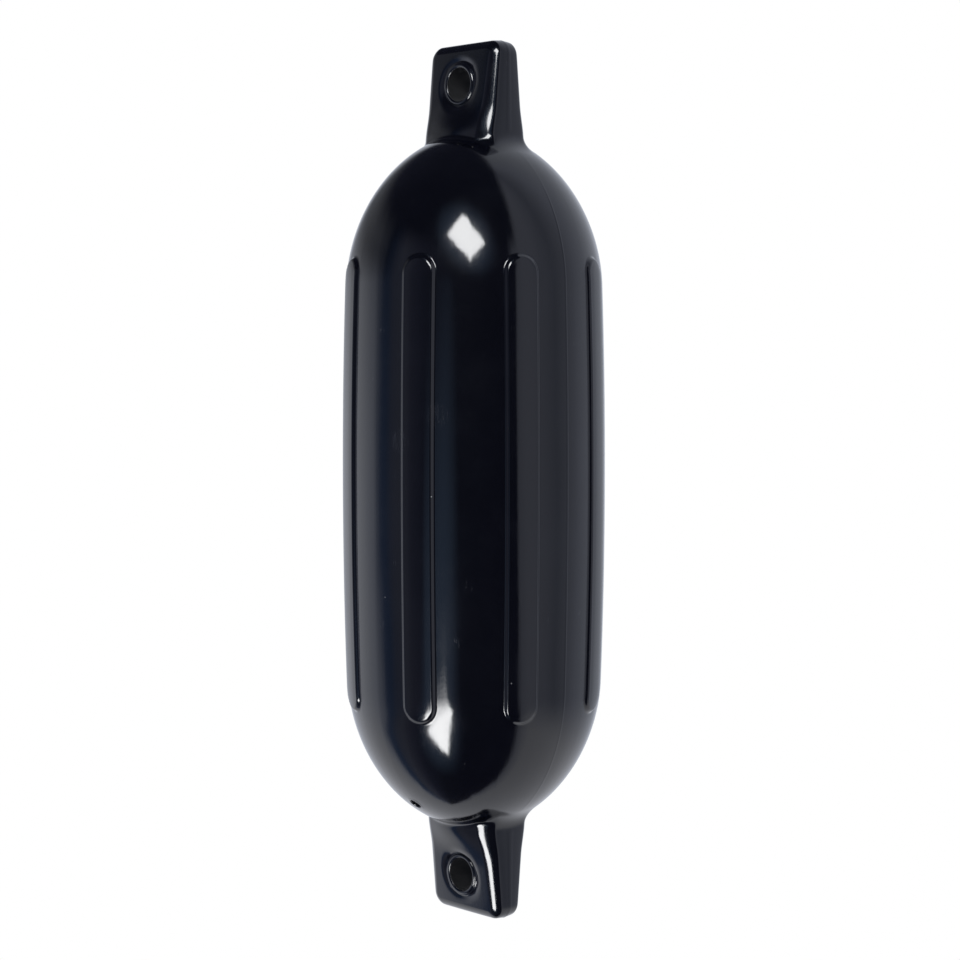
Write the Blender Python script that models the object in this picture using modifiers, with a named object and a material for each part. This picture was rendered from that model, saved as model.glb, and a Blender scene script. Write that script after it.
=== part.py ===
"""Inflatable boat fender with an eye at each end, as it hangs from its upper eye.

The body is one rotational moulding of soft vinyl: a slightly barrelled tube, a dome at each
end, eight lengthwise ribs, and a flat eye with a lipped rope hole on each dome. A rubber
needle valve sits in a seat that is moulded into the lower dome.

Frame: metres, +Z up along the fender. The origin is the middle of the upper eye's rope hole,
Y runs along the rope holes, and the eyes are widest along X.
"""

import math

import bmesh
import bpy
from mathutils import Matrix, Vector

# Barrel and domes
fender_length = 0.559
belly_radius = 0.0842
barrel_arc_radius = 3.8
dome_height = 0.0966
wall = 0.004

# Ribs
rib_count = 8
first_rib_angle = math.radians(22.5)
rib_overrun = 0.01765
rib_width = 0.023
rib_height = 0.0022

# Eyes
eye_reach = 0.0563
eye_width = 0.0626
eye_tip_thickness = 0.0192
eye_foot_thickness = 0.0326
eye_corner_radius = 0.009
eye_edge_radius = 0.0055
hole_inset = 0.0265
hole_radius = 0.0103
lip_width = 0.003
lip_rise = 0.00125
dish_margin = 0.0057
dish_depth = 0.0014
lower_eye_shift = 0.0018

# Valve and its seat, measured from the dome's skin at the valve
valve_rise = 0.0205
valve_swing = math.radians(-93.5)
valve_inset = 0.0016
valve_head_radius = 0.0034
valve_head_depth = 0.0018
valve_neck_radius = 0.0023
valve_foot_radius = 0.005
valve_foot_depth = 0.0018
needle_hole_radius = 0.0006
needle_funnel_radius = 0.0014
needle_funnel_depth = 0.0012
seat_clearance = 0.0003
seat_mouth_round = 0.001
boss_margin = 0.004
boss_depth = 0.008

# Edges of the eye's plate that turn more than this are rounded
round_limit = math.radians(50)

# How far past its cut a cutter reaches, as a share of the cut's own size
cutter_reach = 1.5

# How finely the round shapes are cut into facets
turn_steps = 56
hollow_steps = 32
dome_steps = 9
barrel_steps = 4
hole_steps = 28
valve_steps = 20
round_steps = 3

# What follows from the sizes above; heights here are from the fender's middle
half_length = fender_length / 2
apex_height = half_length - eye_reach
dome_start = apex_height - dome_height
hole_height = half_length - hole_inset
rib_half_length = dome_start + rib_overrun
lip_radius = hole_radius + lip_width
dish_radius = lip_radius + dish_margin
boss_radius = valve_foot_radius + boss_margin
root_depth = 2 * wall
middle = Vector((0, 0, -hole_height))


def clear_scene():
    for old in list(bpy.data.objects):
        bpy.data.objects.remove(old, do_unlink=True)


def make_collection(name):
    group = bpy.data.collections.new(name)
    bpy.context.scene.collection.children.link(group)
    return group


def make_material(name, color, roughness):
    material = bpy.data.materials.new(name)
    material.use_nodes = True
    shader = material.node_tree.nodes["Principled BSDF"]
    shader.inputs["Base Color"].default_value = (*color, 1)
    shader.inputs["Roughness"].default_value = roughness
    shader.inputs["Metallic"].default_value = 0
    return material


def add_object(name, bm, group, material=None):
    """Links a finished bmesh as an object; one without a material is a cutter or a guide."""
    mesh = bpy.data.meshes.new(name)
    bm.to_mesh(mesh)
    bm.free()
    added = bpy.data.objects.new(name, mesh)
    group.objects.link(added)
    if material:
        mesh.materials.append(material)
    else:
        added.hide_render = True
        added.display_type = "WIRE"
    return added


def combine(target, tool, operation):
    step = target.modifiers.new(tool.name, "BOOLEAN")
    step.operation = operation
    step.solver = "EXACT"
    step.object = tool


def barrel_radius(height):
    """The long arc of the barrel, which the domes go on from."""
    return belly_radius - height * height / (2 * barrel_arc_radius)


def skin_radius(height):
    """The body's radius at a height above its middle, on the barrel or on the dome."""
    share = max(0, height - dome_start) / dome_height
    return barrel_radius(height) * math.sqrt(1 - share * share)


def skin_height(radius):
    """The dome's height at a distance from the axis."""
    share = radius / barrel_radius(dome_start)
    return dome_start + dome_height * math.sqrt(1 - share * share)


def dome_point(turn):
    """Radius and height on the upper dome at a turn from its pole, and which way the outline runs there."""
    height = dome_start + dome_height * math.cos(turn)
    radius = barrel_radius(height) * math.sin(turn)
    fall = dome_height * math.sin(turn)
    spread = barrel_radius(height) * math.cos(turn) + fall * math.sin(turn) * height / barrel_arc_radius
    return Vector((radius, height)), Vector((spread, -fall))


def barrel_point(height):
    return Vector((barrel_radius(height), height)), Vector((height / barrel_arc_radius, -1))


def half_outline(offset):
    """Radius and height from the upper pole to mid-length, moved out along the normal."""
    points = [dome_point(math.pi / 2 * step / dome_steps) for step in range(dome_steps)]
    points += [barrel_point(dome_start * (1 - step / barrel_steps)) for step in range(barrel_steps + 1)]
    return [at + offset * Vector((-along.y, along.x)).normalized() for at, along in points]


def outline(offset):
    """The whole outline, pole to pole, running down."""
    upper = half_outline(offset)
    lower = [Vector((at.x, -at.y)) for at in reversed(upper[:-1])]
    return upper + lower


def turned(name, points, steps, group, material=None, ring=False):
    """A solid turned about Z from a profile that runs down its outer side; a ring's profile closes."""
    bm = bmesh.new()
    verts = [bm.verts.new((at[0], 0, at[1])) for at in points]
    for start, end in zip(verts, verts[1:]):
        bm.edges.new((start, end))
    if ring:
        bm.edges.new((verts[-1], verts[0]))
    made = add_object(name, bm, group, material)
    screw = made.modifiers.new("turn", "SCREW")
    screw.axis = "Z"
    screw.angle = math.tau
    screw.steps = steps
    screw.render_steps = steps
    screw.use_merge_vertices = True
    screw.merge_threshold = 0.00001
    screw.use_smooth_shade = True
    return made


def add_prism(bm, points, place, depth):
    """Adds a closed outline in local XY, extruded by a depth along local Z."""
    face = bm.faces.new([bm.verts.new(place @ Vector((x, y, 0))) for x, y in points])
    raised = bmesh.ops.extrude_face_region(bm, geom=[face])["geom"]
    tops = [item for item in raised if isinstance(item, bmesh.types.BMVert)]
    lift = place.to_3x3() @ Vector((0, 0, depth))
    bmesh.ops.translate(bm, verts=tops, vec=lift)


def arc(center_x, center_y, radius, start, end, steps):
    points = []
    for step in range(steps + 1):
        turn = math.radians(start + (end - start) * step / steps)
        points.append((center_x + radius * math.cos(turn), center_y + radius * math.sin(turn)))
    return points


def build_ribs(group):
    """The eight ribs: stadium prisms trimmed by the body's own shape, set out by their height."""
    end_radius = rib_width / 2
    straight = rib_half_length - end_radius
    stadium = arc(0, straight, end_radius, 0, 180, 2 * round_steps)
    stadium += arc(0, -straight, end_radius, 180, 360, 2 * round_steps)
    root = skin_radius(rib_half_length) - root_depth
    top = belly_radius + cutter_reach * rib_height
    bm = bmesh.new()
    for index in range(rib_count):
        turn = first_rib_angle + index * math.tau / rib_count
        out = Vector((math.cos(turn), math.sin(turn), 0))
        side = Vector((-math.sin(turn), math.cos(turn), 0))
        place = Matrix((side, Vector((0, 0, 1)), out)).transposed().to_4x4()
        place.translation = middle + out * root
        add_prism(bm, stadium, place, top - root)
    bmesh.ops.recalc_face_normals(bm, faces=bm.faces)
    outlines = add_object("rib_outlines", bm, group)
    ribs = turned("ribs", outline(rib_height), turn_steps, group)
    ribs.location = middle
    combine(ribs, outlines, "INTERSECT")
    return ribs


def eye_half_thickness(height):
    share = (height - apex_height) / eye_reach
    return (eye_foot_thickness + (eye_tip_thickness - eye_foot_thickness) * share) / 2


def build_eye(name, up, shift, group):
    """One eye: a tapered plate with round edges, a dish on each face and a lipped hole."""
    half_width = eye_width / 2
    root_height = skin_height(math.hypot(half_width, eye_foot_thickness / 2)) - root_depth
    inner_x = half_width - eye_corner_radius
    inner_z = half_length - eye_corner_radius
    plate = [(-half_width, root_height), (half_width, root_height)]
    plate += arc(inner_x, inner_z, eye_corner_radius, 0, 90, round_steps)
    plate += arc(-inner_x, inner_z, eye_corner_radius, 90, 180, round_steps)
    across = Matrix.Rotation(math.pi / 2, 4, "X")
    across.translation = (0, 1, 0)
    bm = bmesh.new()
    add_prism(bm, plate, across, 2)
    # The plate is 1 m thick each way here, so scaling its Y gives each height its own thickness
    for vert in bm.verts:
        vert.co.y *= eye_half_thickness(vert.co.z)
    bmesh.ops.recalc_face_normals(bm, faces=bm.faces)
    eye = add_object(name, bm, group)
    edges = eye.modifiers.new("round_edges", "BEVEL")
    edges.width = eye_edge_radius
    edges.segments = round_steps
    edges.limit_method = "ANGLE"
    edges.angle_limit = round_limit

    slope = math.atan2(eye_foot_thickness - eye_tip_thickness, 2 * eye_reach)
    face_at = eye_half_thickness(hole_height)
    dish_sphere = (dish_radius ** 2 + dish_depth ** 2) / (2 * dish_depth)
    sweep = math.degrees(math.asin(cutter_reach * dish_radius / dish_sphere))
    bowl = arc(0, dish_sphere - dish_depth, dish_sphere, sweep - 90, -90, round_steps)
    for side, label in ((-1, "front"), (1, "back")):
        lens = [(0, bowl[0][1]), *bowl[:-1], (0, bowl[-1][1])]
        dish = turned(f"{name}_{label}_dish", lens, hole_steps, group)
        dish.location = (0, side * face_at, hole_height)
        dish.rotation_euler = (-side * (math.pi / 2 - slope), 0, 0)
        dish.parent = eye
        combine(eye, dish, "DIFFERENCE")

    lip_middle = (lip_radius + hole_radius) / 2
    lip_round = (lip_radius - hole_radius) / 2
    lip_top = face_at + lip_rise
    crest = lip_top - lip_round
    tube = arc(lip_middle, crest, lip_round, 180, 0, round_steps)
    tube += arc(lip_middle, -crest, lip_round, 0, -180, round_steps)
    core_top = cutter_reach * lip_top
    core = [(0, core_top), (lip_middle, core_top), (lip_middle, -core_top), (0, -core_top)]
    hole = turned(f"{name}_hole", core, hole_steps, group)
    lip = turned(f"{name}_lip", tube, hole_steps, group, ring=True)
    for tool, operation in ((hole, "DIFFERENCE"), (lip, "UNION")):
        tool.location = (0, 0, hole_height)
        tool.rotation_euler = (math.pi / 2, 0, 0)
        tool.parent = eye
        combine(eye, tool, operation)

    eye.location = middle + Vector((shift, 0, 0))
    if not up:
        eye.rotation_euler = (math.pi, 0, 0)
    return eye


def valve_place():
    """The frame of the valve: on the lower dome's skin, local Z pointing straight out."""
    at, along = dome_point(math.acos(1 - valve_rise / dome_height))
    out = Vector((math.cos(valve_swing), math.sin(valve_swing), 0))
    normal = -along.y * out - Vector((0, 0, along.x))
    place = normal.to_track_quat("Z", "Y").to_matrix().to_4x4()
    place.translation = middle + out * at.x - Vector((0, 0, at.y))
    return place


def build_valve_seat(body, group):
    """Thickens the wall behind the valve, then cuts the recess and the bore through it."""
    place = valve_place()
    boss_top = -wall / 2
    drum = [(0, boss_top), (boss_radius, boss_top), (boss_radius, -boss_depth), (0, -boss_depth)]
    boss = turned("valve_boss", drum, valve_steps, group)
    boss.matrix_world = place
    combine(body, boss, "UNION")
    head_floor = valve_inset + valve_head_depth + seat_clearance
    recess_radius = valve_head_radius + seat_clearance
    bore_radius = valve_neck_radius + seat_clearance
    mouth_radius = recess_radius + seat_mouth_round
    profile = [(0, wall), (mouth_radius, wall)]
    profile += arc(mouth_radius, -seat_mouth_round, seat_mouth_round, 90, 180, round_steps)
    bore_end = -cutter_reach * boss_depth
    profile += [(recess_radius, -head_floor), (bore_radius, -head_floor)]
    profile += [(bore_radius, bore_end), (0, bore_end)]
    seat = turned("valve_seat", profile, valve_steps, group)
    seat.matrix_world = place
    combine(body, seat, "DIFFERENCE")


def build_body(group, cutters, material):
    body = turned("fender_body", outline(0), turn_steps, group, material)
    body.location = middle
    combine(body, build_ribs(cutters), "UNION")
    combine(body, build_eye("upper_eye", True, 0, cutters), "UNION")
    combine(body, build_eye("lower_eye", False, lower_eye_shift, cutters), "UNION")
    hollow = turned("hollow", outline(-wall), hollow_steps, cutters)
    hollow.location = middle
    combine(body, hollow, "DIFFERENCE")
    build_valve_seat(body, cutters)


def build_valve(group, material):
    """A rubber spool with a needle hole: its head lies in the recess and its foot behind the boss."""
    head_top = -valve_inset
    head_base = head_top - valve_head_depth
    foot_top = -boss_depth - seat_clearance
    foot_base = foot_top - valve_foot_depth
    profile = [
        (needle_hole_radius, head_top - needle_funnel_depth),
        (needle_funnel_radius, head_top),
        (valve_head_radius, head_top),
        (valve_head_radius, head_base),
        (valve_neck_radius, head_base),
        (valve_neck_radius, foot_top),
        (valve_foot_radius, foot_top),
        (valve_foot_radius, foot_base),
        (needle_hole_radius, foot_base),
    ]
    valve = turned("inflation_valve", profile, valve_steps, group, material, ring=True)
    valve.matrix_world = valve_place()


def main():
    clear_scene()
    fender = make_collection("inflatable_fender")
    cutters = make_collection("cutters")
    vinyl = make_material("gloss_vinyl", (0.006, 0.007, 0.011), 0.12)
    rubber = make_material("valve_rubber", (0.012, 0.012, 0.013), 0.45)
    build_body(fender, cutters, vinyl)
    build_valve(fender, rubber)


main()
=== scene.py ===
"""Looks of a glossy black inflatable boat fender that hangs from its upper eye."""

import math

import bmesh
import bpy
from mathutils import Matrix, Vector


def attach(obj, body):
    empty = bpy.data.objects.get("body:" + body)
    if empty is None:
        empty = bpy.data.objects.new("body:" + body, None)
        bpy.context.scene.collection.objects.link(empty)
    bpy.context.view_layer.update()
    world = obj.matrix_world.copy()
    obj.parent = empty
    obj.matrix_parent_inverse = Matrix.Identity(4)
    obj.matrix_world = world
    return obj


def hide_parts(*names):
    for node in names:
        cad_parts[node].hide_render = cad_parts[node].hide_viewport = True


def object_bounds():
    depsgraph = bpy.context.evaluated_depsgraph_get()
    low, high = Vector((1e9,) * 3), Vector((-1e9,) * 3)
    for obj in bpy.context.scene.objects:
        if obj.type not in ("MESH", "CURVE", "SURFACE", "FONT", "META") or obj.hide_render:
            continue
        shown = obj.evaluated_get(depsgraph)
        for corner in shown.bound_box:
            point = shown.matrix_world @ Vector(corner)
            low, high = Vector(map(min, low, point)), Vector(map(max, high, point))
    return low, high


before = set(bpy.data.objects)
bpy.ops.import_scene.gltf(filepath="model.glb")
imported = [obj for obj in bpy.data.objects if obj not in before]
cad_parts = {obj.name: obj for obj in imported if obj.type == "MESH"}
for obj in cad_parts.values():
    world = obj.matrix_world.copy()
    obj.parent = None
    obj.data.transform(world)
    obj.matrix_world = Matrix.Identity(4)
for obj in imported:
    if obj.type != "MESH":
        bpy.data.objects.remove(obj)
cad_low, cad_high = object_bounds()

# Barrel, domes and ribs
# The real fender is one rotational moulding of soft vinyl, so its tube, its domes and its eight
# ribs are one skin. The ribs run the whole length of the barrel, and the mould's parting seam
# crosses the two sides.

belly_radius = cad_high.x
half_length = (cad_high.z - cad_low.z) / 2
middle_height = (cad_high.z + cad_low.z) / 2
barrel_arc_radius = 3.8
dome_height = 0.0966
eye_reach = 0.0563
dome_start = half_length - eye_reach - dome_height
rib_count = 8
rib_half_length = dome_start + 0.01765
rib_width = 0.023
rib_height = 0.0021
rib_edge_width = 0.0027
rib_crown = 0.00018
rib_crown_reach = 0.0045
seam_height = 0.00020
ring_radius = 0.060

# Each half pitch between ribs has 19 lines, crowded on the rib and at the seam; each half of the
# length has 54 rows, crowded at the ribs' ends
lines_per_pitch = 38
line_share = [
    (0, 0), (6 / 19, 5.8 / 22.5), (13 / 19, 8.3 / 22.5),
    (17 / 19, 21.7 / 22.5), (18 / 19, 22.15 / 22.5), (1, 1),
]
row_count = 108
row_share = [(0, 0), (12 / 54, 0.5), (14 / 54, 0.533), (40 / 54, 0.637), (1, 1)]
rounding_guard = 0.000001
on_axis = 0.0005
weld_reach = 0.00002


def feed(tree, sockets, values):
    """Gives each input socket its value, by a link where the value is a socket of another node."""
    for socket, value in zip(sockets, values):
        if isinstance(value, bpy.types.NodeSocket):
            tree.links.new(value, socket)
        else:
            socket.default_value = value


def add_node(tree, kind, **values):
    """Adds a node and gives its named inputs their values; a name's spaces are written as _."""
    node = tree.nodes.new(kind)
    feed(tree, [node.inputs[name.replace("_", " ")] for name in values], values.values())
    return node


def calculate(tree, operation, *values):
    """Adds a Math node to a tree and returns its result; values are sockets or numbers."""
    node = tree.nodes.new("ShaderNodeMath")
    node.operation = operation
    feed(tree, node.inputs, values)
    return node.outputs[0]


def soft_range(tree, value, low, high, new_low, new_high):
    """Maps low to high onto new_low to new_high with a soft start and end, and returns the result."""
    node = tree.nodes.new("ShaderNodeMapRange")
    node.interpolation_type = "SMOOTHSTEP"
    feed(tree, node.inputs, (value, low, high, new_low, new_high))
    return node.outputs["Result"]


def spread(tree, points, value):
    """Adds a curve of straight stretches through the points and returns its value."""
    node = tree.nodes.new("ShaderNodeFloatCurve")
    curve = node.mapping.curves[0]
    for x, y in points[1:-1]:
        curve.points.new(x, y)
    for point in curve.points:
        point.handle_type = "VECTOR"
    node.mapping.update()
    tree.links.new(value, node.inputs["Value"])
    return node.outputs["Value"]


shell_tree = bpy.data.node_groups.new("barrel_domes_and_ribs", "GeometryNodeTree")
shell_tree.is_modifier = True
shell_sizes = {
    "Belly Radius": belly_radius - seam_height,
    "Barrel Arc Radius": barrel_arc_radius,
    "Dome Start": dome_start,
    "Dome Height": dome_height,
    "Ring Radius": ring_radius,
    "Rib Count": float(rib_count),
    "Rib Half Length": rib_half_length,
    "Rib Width": rib_width,
    "Rib Height": rib_height,
    "Rib Edge Width": rib_edge_width,
    "Rib Crown": rib_crown,
    "Rib Crown Reach": rib_crown_reach,
    "Seam Height": seam_height,
    "Middle Height": middle_height,
}
socket_of = {}
for name in shell_sizes:
    item = shell_tree.interface.new_socket(name, in_out="INPUT", socket_type="NodeSocketFloat")
    socket_of[name] = item.identifier
material_socket = shell_tree.interface.new_socket("Vinyl", in_out="INPUT", socket_type="NodeSocketMaterial")
shell_tree.interface.new_socket("Shell", in_out="OUTPUT", socket_type="NodeSocketGeometry")
asked = shell_tree.nodes.new("NodeGroupInput").outputs


def shell_math(operation, *values):
    return calculate(shell_tree, operation, *values)


grid = add_node(shell_tree, "GeometryNodeMeshGrid", Size_X=1, Size_Y=1,
                Vertices_X=rib_count * lines_per_pitch + 1, Vertices_Y=row_count + 1)
flat_place = add_node(shell_tree, "GeometryNodeInputPosition").outputs[0]
flat_x, flat_y, _ = add_node(shell_tree, "ShaderNodeSeparateXYZ", Vector=flat_place).outputs

# Angle round the axis: a whole number of pitches, then the crowded share of half a pitch
pitch = shell_math("DIVIDE", math.tau, asked["Rib Count"])
pitches = shell_math("MULTIPLY", shell_math("ADD", flat_x, 0.5), asked["Rib Count"])
pitches = shell_math("ADD", pitches, rounding_guard)
centred = shell_math("SUBTRACT", shell_math("FRACT", pitches), 0.5)
half_share = spread(shell_tree, line_share, shell_math("MULTIPLY", shell_math("ABSOLUTE", centred), 2))
from_rib = shell_math("MULTIPLY", shell_math("MULTIPLY", half_share, pitch), 0.5)
rib_number = shell_math("FLOOR", pitches)
rib_angle = shell_math("MULTIPLY", shell_math("ADD", rib_number, 0.5), pitch)
angle = shell_math("ADD", rib_angle, shell_math("MULTIPLY", from_rib, shell_math("SIGN", centred)))

# Height along the barrel, and then round the dome as far as the ring
from_middle = shell_math("ABSOLUTE", shell_math("MULTIPLY", flat_y, 2))
end_share = spread(shell_tree, row_share, from_middle)
path = shell_math("MULTIPLY", end_share, 2)
ring_turn = shell_math("ARCCOSINE", shell_math("DIVIDE", asked["Ring Radius"], asked["Belly Radius"]))
dome_turn = shell_math("MULTIPLY", shell_math("MAXIMUM", shell_math("SUBTRACT", path, 1), 0), ring_turn)
barrel_rise = shell_math("MULTIPLY", shell_math("MINIMUM", path, 1), asked["Dome Start"])
dome_part = shell_math("MULTIPLY", shell_math("SINE", dome_turn), asked["Dome Height"])
height = shell_math("ADD", barrel_rise, dome_part)
arc_width = shell_math("MULTIPLY", asked["Barrel Arc Radius"], 2)
drop = shell_math("DIVIDE", shell_math("MULTIPLY", height, height), arc_width)
barrel = shell_math("SUBTRACT", asked["Belly Radius"], drop)
skin = shell_math("MULTIPLY", barrel, shell_math("COSINE", dome_turn))

# The rib's outline is a stadium, and its edge rises in a soft step
aside = shell_math("MULTIPLY", skin, shell_math("SINE", from_rib))
end_radius = shell_math("MULTIPLY", asked["Rib Width"], 0.5)
past_straight = shell_math("SUBTRACT", height, shell_math("SUBTRACT", asked["Rib Half Length"], end_radius))
beyond = shell_math("MAXIMUM", past_straight, 0)
squares = shell_math("ADD", shell_math("MULTIPLY", aside, aside), shell_math("MULTIPLY", beyond, beyond))
inside = shell_math("SUBTRACT", end_radius, shell_math("SQRT", squares))
step = soft_range(shell_tree, inside, 0, asked["Rib Edge Width"], 0, asked["Rib Height"])

# The rib's face stands a little higher inside its rim
crown_end = shell_math("ADD", asked["Rib Edge Width"], asked["Rib Crown Reach"])
crown = soft_range(shell_tree, inside, asked["Rib Edge Width"], crown_end, 0, asked["Rib Crown"])
rib_rise = shell_math("ADD", step, crown)

# The seam is a fine ridge on the two lines that lie on the X axis
on_seam = shell_math("LESS_THAN", shell_math("ABSOLUTE", shell_math("SINE", angle)), on_axis)
ridge = shell_math("MULTIPLY", on_seam, asked["Seam Height"])
radius = shell_math("ADD", shell_math("ADD", skin, rib_rise), ridge)
upright = shell_math("MULTIPLY", height, shell_math("SIGN", flat_y))
rolled_x = shell_math("MULTIPLY", radius, shell_math("COSINE", angle))
rolled_y = shell_math("MULTIPLY", radius, shell_math("SINE", angle))
rolled_z = shell_math("ADD", upright, asked["Middle Height"])
rolled = add_node(shell_tree, "ShaderNodeCombineXYZ", X=rolled_x, Y=rolled_y, Z=rolled_z).outputs[0]
made = add_node(shell_tree, "GeometryNodeSetPosition", Geometry=grid.outputs["Mesh"], Position=rolled)
made = add_node(shell_tree, "GeometryNodeMergeByDistance", Geometry=made.outputs[0], Distance=weld_reach)
made = add_node(shell_tree, "GeometryNodeRealizeInstances", Geometry=made.outputs[0])
made = add_node(shell_tree, "GeometryNodeSetMaterial", Geometry=made.outputs[0], Material=asked["Vinyl"])
add_node(shell_tree, "NodeGroupOutput", Shell=made.outputs[0])

gloss_vinyl = bpy.data.materials.new("gloss_vinyl")
gloss_vinyl.use_nodes = True

shell = bpy.data.objects.new("shell", bpy.data.meshes.new("shell"))
bpy.context.scene.collection.objects.link(shell)
roll = shell.modifiers.new("barrel_domes_and_ribs", "NODES")
roll.node_group = shell_tree
for name, size in shell_sizes.items():
    roll[socket_of[name]] = size
roll[material_socket.identifier] = gloss_vinyl
shell_mesh = bpy.data.meshes.new_from_object(shell.evaluated_get(bpy.context.evaluated_depsgraph_get()))
bpy.data.objects.remove(shell)
skin_mesh = bmesh.new()
skin_mesh.from_mesh(shell_mesh)

# Eyes
# Each end carries a flat eye, moulded in one with its dome: a tapered plate with round edges,
# which swells and flares at its foot. A raised lip runs round the rope hole, in a shallow dish on
# both faces.

eye_width = 0.0636
eye_tip_thickness = 0.0200
eye_foot_thickness = 0.0342
eye_foot_flare = 0.0012
flare_start = 0.72
flare_span = 0.33
eye_corner_radius = 0.009
eye_tip_round = 0.0038
eye_foot_round = 0.0062
eye_edge_spread = 1.45
eye_edge_power = 1.5
eye_side_crown = 0.0005
face_crown = 0.0007
face_bulge = 0.0046
bulge_start = 0.58
bulge_span = 0.5
face_roll = 0.0005
face_roll_power = 8
tip_roll = 0.0006
tip_roll_span = 0.24
front_fillet = 0.0021
side_fillet = 0.0062
side_fillet_start = 0.78
lower_eye_shift = 0.0018
eye_end = half_length - seam_height
hole_inset = 0.0265
hole_radius = 0.0103
lip_radius = 0.0133
lip_crest = 0.014
lip_foot_radius = 0.0146
lip_roll_start = 0.14
lip_roll_steps = 10
lip_foot_lift = 0.0001
lip_edge_lift = 0.0003
lip_edge_gap = 0.0002
bore_steps = 5
dish_radius = 0.019
dish_depth = 0.0034
hole_block = 0.0165
apex_height = half_length - eye_reach
hole_height = half_length - hole_inset

# Quads across the rim's round edge and flat side, up a face, across it, and from the foot to the ring
edge_steps = 12
face_steps = rib_count * lines_per_pitch // 2 - 3 * edge_steps
corner_steps = 6
side_steps = 48
dome_rows = 26
side_crowding = 1.25
dome_crowding = 1.3
hole_loops = 5
valve_loops = 3
dome_rounds = 8
foot_halvings = 40
fillet_rounds = 4


def eased(share):
    """A share held between 0 and 1, with a soft start and end."""
    share = min(1, max(0, share))
    return share * share * (3 - 2 * share)


def dome_rise(distance):
    """Height of the dome's skin above the middle, at a distance from the axis."""
    rise = dome_start
    for _ in range(dome_rounds):
        share = distance / (belly_radius - seam_height - rise * rise / (2 * barrel_arc_radius))
        rise = dome_start + dome_height * math.sqrt(max(0, 1 - share * share))
    return rise


def eye_half_thickness(height):
    """Half of the plain eye's thickness, which grows from its end to its foot and flares there."""
    share = (half_length - height) / eye_reach
    flare = eye_foot_flare * eased((share - flare_start) / flare_span)
    return (eye_tip_thickness + (eye_foot_thickness - eye_tip_thickness) * share) / 2 + flare


def edge_round(height):
    """How deep the eye's edges are rounded, which grows from its end to its foot."""
    return eye_tip_round + (eye_foot_round - eye_tip_round) * (half_length - height) / eye_reach


def swell(x, height):
    """How many times thicker the crowned eye is than its flat plate: its faces bulge at the foot."""
    across = min(1, abs(x) / (eye_width / 2))
    share = (half_length - height) / eye_reach
    plump = 1 - across * across
    bulge = face_crown * plump + face_bulge * eased((share - bulge_start) / bulge_span) * plump ** 2
    roll = face_roll * across ** face_roll_power + tip_roll * max(0, 1 - share / tip_roll_span) ** 2
    return 1 + (bulge - roll) / eye_half_thickness(height)


def face_depth(x, height):
    """How far the eye's face stands from its middle plane, with the dish round the hole."""
    share = min(1, math.hypot(x, height - hole_height) / dish_radius)
    return eye_half_thickness(height) * swell(x, height) - dish_depth * (1 - share ** 3) ** 2


def rim_across(index):
    """Inset from the outline, and the thickness's and the round edge's share, from front to back."""
    power = 2 / eye_edge_power
    if index <= edge_steps:
        turn = math.pi / 2 * (1 - index / edge_steps)
        return 1 - math.cos(turn) ** power, -1, -math.sin(turn) ** power
    if index <= 2 * edge_steps:
        return 0, 2 * (index - edge_steps) / edge_steps - 1, 0
    turn = math.pi / 2 * (index / edge_steps - 2)
    return 1 - abs(math.cos(turn)) ** power, 1, math.sin(turn) ** power


def rim_point(index, x, height, out_x, out_z):
    """A point of the rim, where its outline passes (x, height) and faces (out_x, out_z)."""
    inset, share, bend = rim_across(index)
    if index == 3 * edge_steps // 2:
        x += out_x * seam_height
        height += out_z * seam_height
    edge = edge_round(height)
    inward = inset * edge * eye_edge_spread + eye_side_crown * share * share
    x -= out_x * inward
    height -= out_z * inward
    depth = share * (eye_half_thickness(height) - edge) + bend * edge
    return Vector((x, depth * swell(x, height), height))


def foot_height(shift, x, depth_at):
    """Where a line that runs up the eye at x leaves the dome."""
    low, high = dome_start, apex_height
    for _ in range(foot_halvings):
        half = (low + high) / 2
        if dome_rise(math.hypot(x + shift, depth_at(half))) > half:
            low = half
        else:
            high = half
    return (low + high) / 2


def side_line(index, side, shift):
    """A line of the rim from the dome up one side of the eye, to the middle of its corner."""
    inset, share, _ = rim_across(index)
    foot = apex_height
    for _ in range(4):
        inward = inset * edge_round(foot) * eye_edge_spread + eye_side_crown * share * share
        x = side * (eye_width / 2 - inward)
        foot = foot_height(shift, x, lambda at: rim_point(index, x, at, 0, 0).y)
    corner = eye_end - eye_corner_radius
    straight = side_steps - corner_steps
    points = []
    for step in range(straight + 1):
        share = (step / straight) ** side_crowding
        points.append(rim_point(index, side * eye_width / 2, foot + (corner - foot) * share, side, 0))
    for step in range(1, corner_steps + 1):
        points.append(corner_point(index, side, math.pi / 4 * step / corner_steps))
    return points


def corner_point(index, side, turn):
    out_x = side * math.cos(turn)
    out_z = math.sin(turn)
    x = side * (eye_width / 2 - eye_corner_radius) + eye_corner_radius * out_x
    height = eye_end - eye_corner_radius + eye_corner_radius * out_z
    return rim_point(index, x, height, out_x, out_z)


def top_line(index):
    """A line of the rim over the eye's end, from the middle of one corner to the other's."""
    turns = [math.pi / 4 * (1 + step / corner_steps) for step in range(corner_steps)]
    start = [corner_point(index, 1, turn) for turn in turns]
    end = [corner_point(index, -1, turn) for turn in reversed(turns)]
    straight = face_steps - 2 * corner_steps
    reach = eye_width / 2 - eye_corner_radius
    flat = []
    for step in range(straight + 1):
        flat.append(rim_point(index, reach * (1 - 2 * step / straight), eye_end, 0, 1))
    return start + flat + end


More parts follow.
